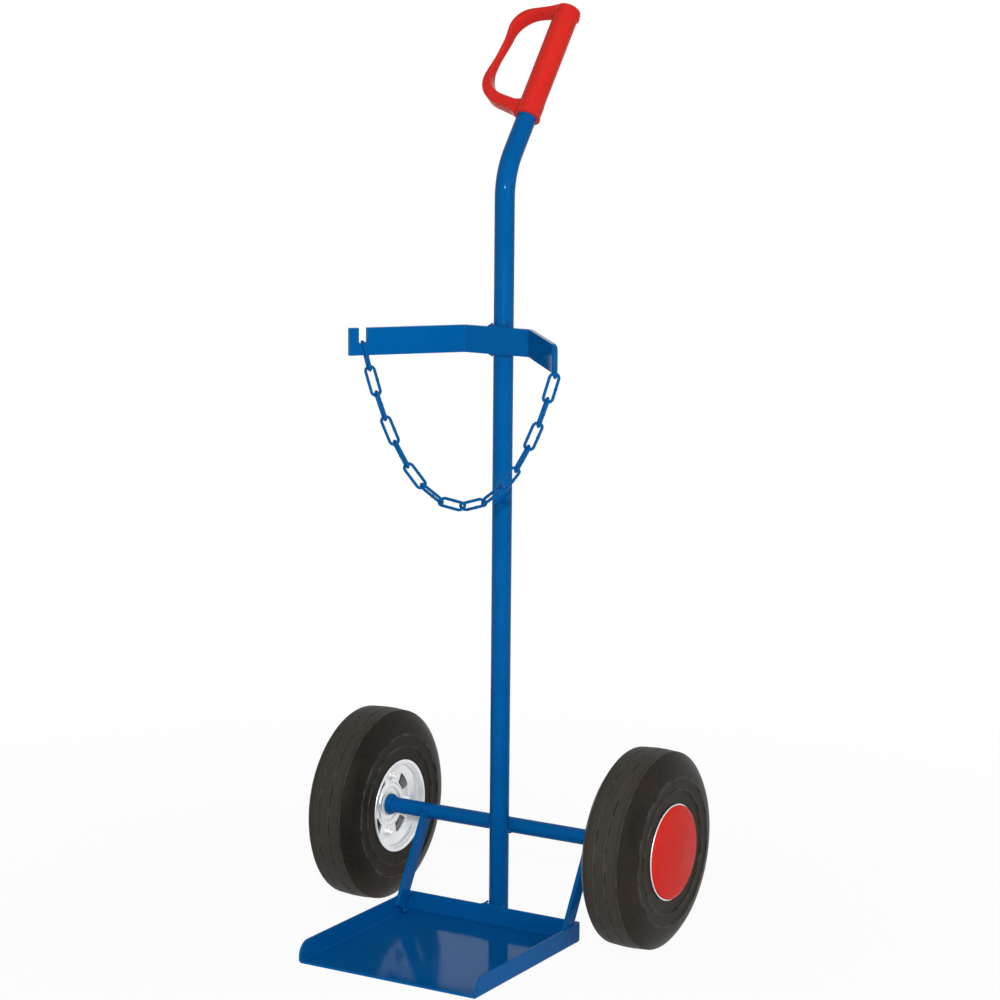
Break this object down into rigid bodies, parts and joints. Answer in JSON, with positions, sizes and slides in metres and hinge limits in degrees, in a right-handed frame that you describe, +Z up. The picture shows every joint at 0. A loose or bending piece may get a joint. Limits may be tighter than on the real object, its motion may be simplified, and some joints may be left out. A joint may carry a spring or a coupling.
{
  "type": "welding cylinder trolley",
  "caption": "Two-wheeled upright gas cylinder trolley with a folded toe tray, a forked cradle with a safety chain, solid rubber wheels and a guarded hand grip.",
  "frame": {"origin": "centre of the toe tray's flat underside, on the floor", "axes": "+Z up along the mast, -Y towards the cylinder that is carried, +X to the right wheel"},
  "size_m": [0.4904, 0.433, 1.16],
  "materials": {
    "blue_powder_coat": "glossy powder coat on steel",
    "red_moulded_plastic": "glossy moulded polypropylene",
    "black_rubber": "matt solid rubber",
    "zinc_plated_steel": "bright zinc plate",
    "spring_steel": "dark phosphated spring steel",
    "natural_nylon": "natural nylon"
  },
  "bodies": {
    "frame": {"mast_tube": "blue_powder_coat", "toe_tray": "blue_powder_coat", "cradle_bar": "blue_powder_coat", "axle_rod": "blue_powder_coat", "hand_grip": "red_moulded_plastic", "strut_left": "blue_powder_coat", "stop_ring_left": "blue_powder_coat", "axle_washer_left": "zinc_plated_steel", "retaining_ring_left": "spring_steel", "strut_right": "blue_powder_coat", "stop_ring_right": "blue_powder_coat", "axle_washer_right": "zinc_plated_steel", "retaining_ring_right": "spring_steel", "chain_link_01": "blue_powder_coat", "chain_link_16": "blue_powder_coat"},
    "wheel_left": {"tyre_left": "black_rubber", "rim_barrel_left": "zinc_plated_steel", "rim_disc_outer_left": "zinc_plated_steel", "rim_disc_inner_left": "zinc_plated_steel", "hub_tube_left": "zinc_plated_steel", "hub_bush_outer_left": "natural_nylon", "hub_bush_inner_left": "natural_nylon", "clamp_bolts_left": "zinc_plated_steel", "hub_cap_left": "red_moulded_plastic"},
    "wheel_right": {"tyre_right": "black_rubber", "rim_barrel_right": "zinc_plated_steel", "rim_disc_outer_right": "zinc_plated_steel", "rim_disc_inner_right": "zinc_plated_steel", "hub_tube_right": "zinc_plated_steel", "hub_bush_outer_right": "natural_nylon", "hub_bush_inner_right": "natural_nylon", "clamp_bolts_right": "zinc_plated_steel", "hub_cap_right": "red_moulded_plastic"},
    "chain_ends": {"chain_link_02": "blue_powder_coat", "chain_link_15": "blue_powder_coat"},
    "chain_middle": {"chain_link_03": "blue_powder_coat", "chain_link_04": "blue_powder_coat", "chain_link_05": "blue_powder_coat", "chain_link_06": "blue_powder_coat", "chain_link_07": "blue_powder_coat", "chain_link_08": "blue_powder_coat", "chain_link_09": "blue_powder_coat", "chain_link_10": "blue_powder_coat", "chain_link_11": "blue_powder_coat", "chain_link_12": "blue_powder_coat", "chain_link_13": "blue_powder_coat", "chain_link_14": "blue_powder_coat"}
  },
  "joints": [
    {"name": "wheel_left_spin", "type": "hinge", "parent": "frame", "child": "wheel_left", "pos_m": [-0.2, 0.162, 0.125], "axis": [1, 0, 0], "continuous": true},
    {"name": "wheel_right_spin", "type": "hinge", "parent": "frame", "child": "wheel_right", "pos_m": [0.2, 0.162, 0.125], "axis": [1, 0, 0], "continuous": true},
    {"name": "chain_ends_swing", "type": "hinge", "parent": "frame", "child": "chain_ends", "pos_m": [-0.12692, 0.03075, 0.71636], "axis": [0.9943, -0.0935, 0.0515], "range_deg": [-22.4, 18.2]},
    {"name": "chain_middle_swing", "type": "hinge", "parent": "chain_ends", "child": "chain_middle", "pos_m": [-0.11575, 0.0297, 0.68629], "axis": [0.9941, -0.0934, 0.0549], "range_deg": [-32, 26]}
  ],
  "couplings": [
    {"joint": "chain_ends_swing", "follows": "chain_middle_swing", "ratio": 0.7}
  ]
}
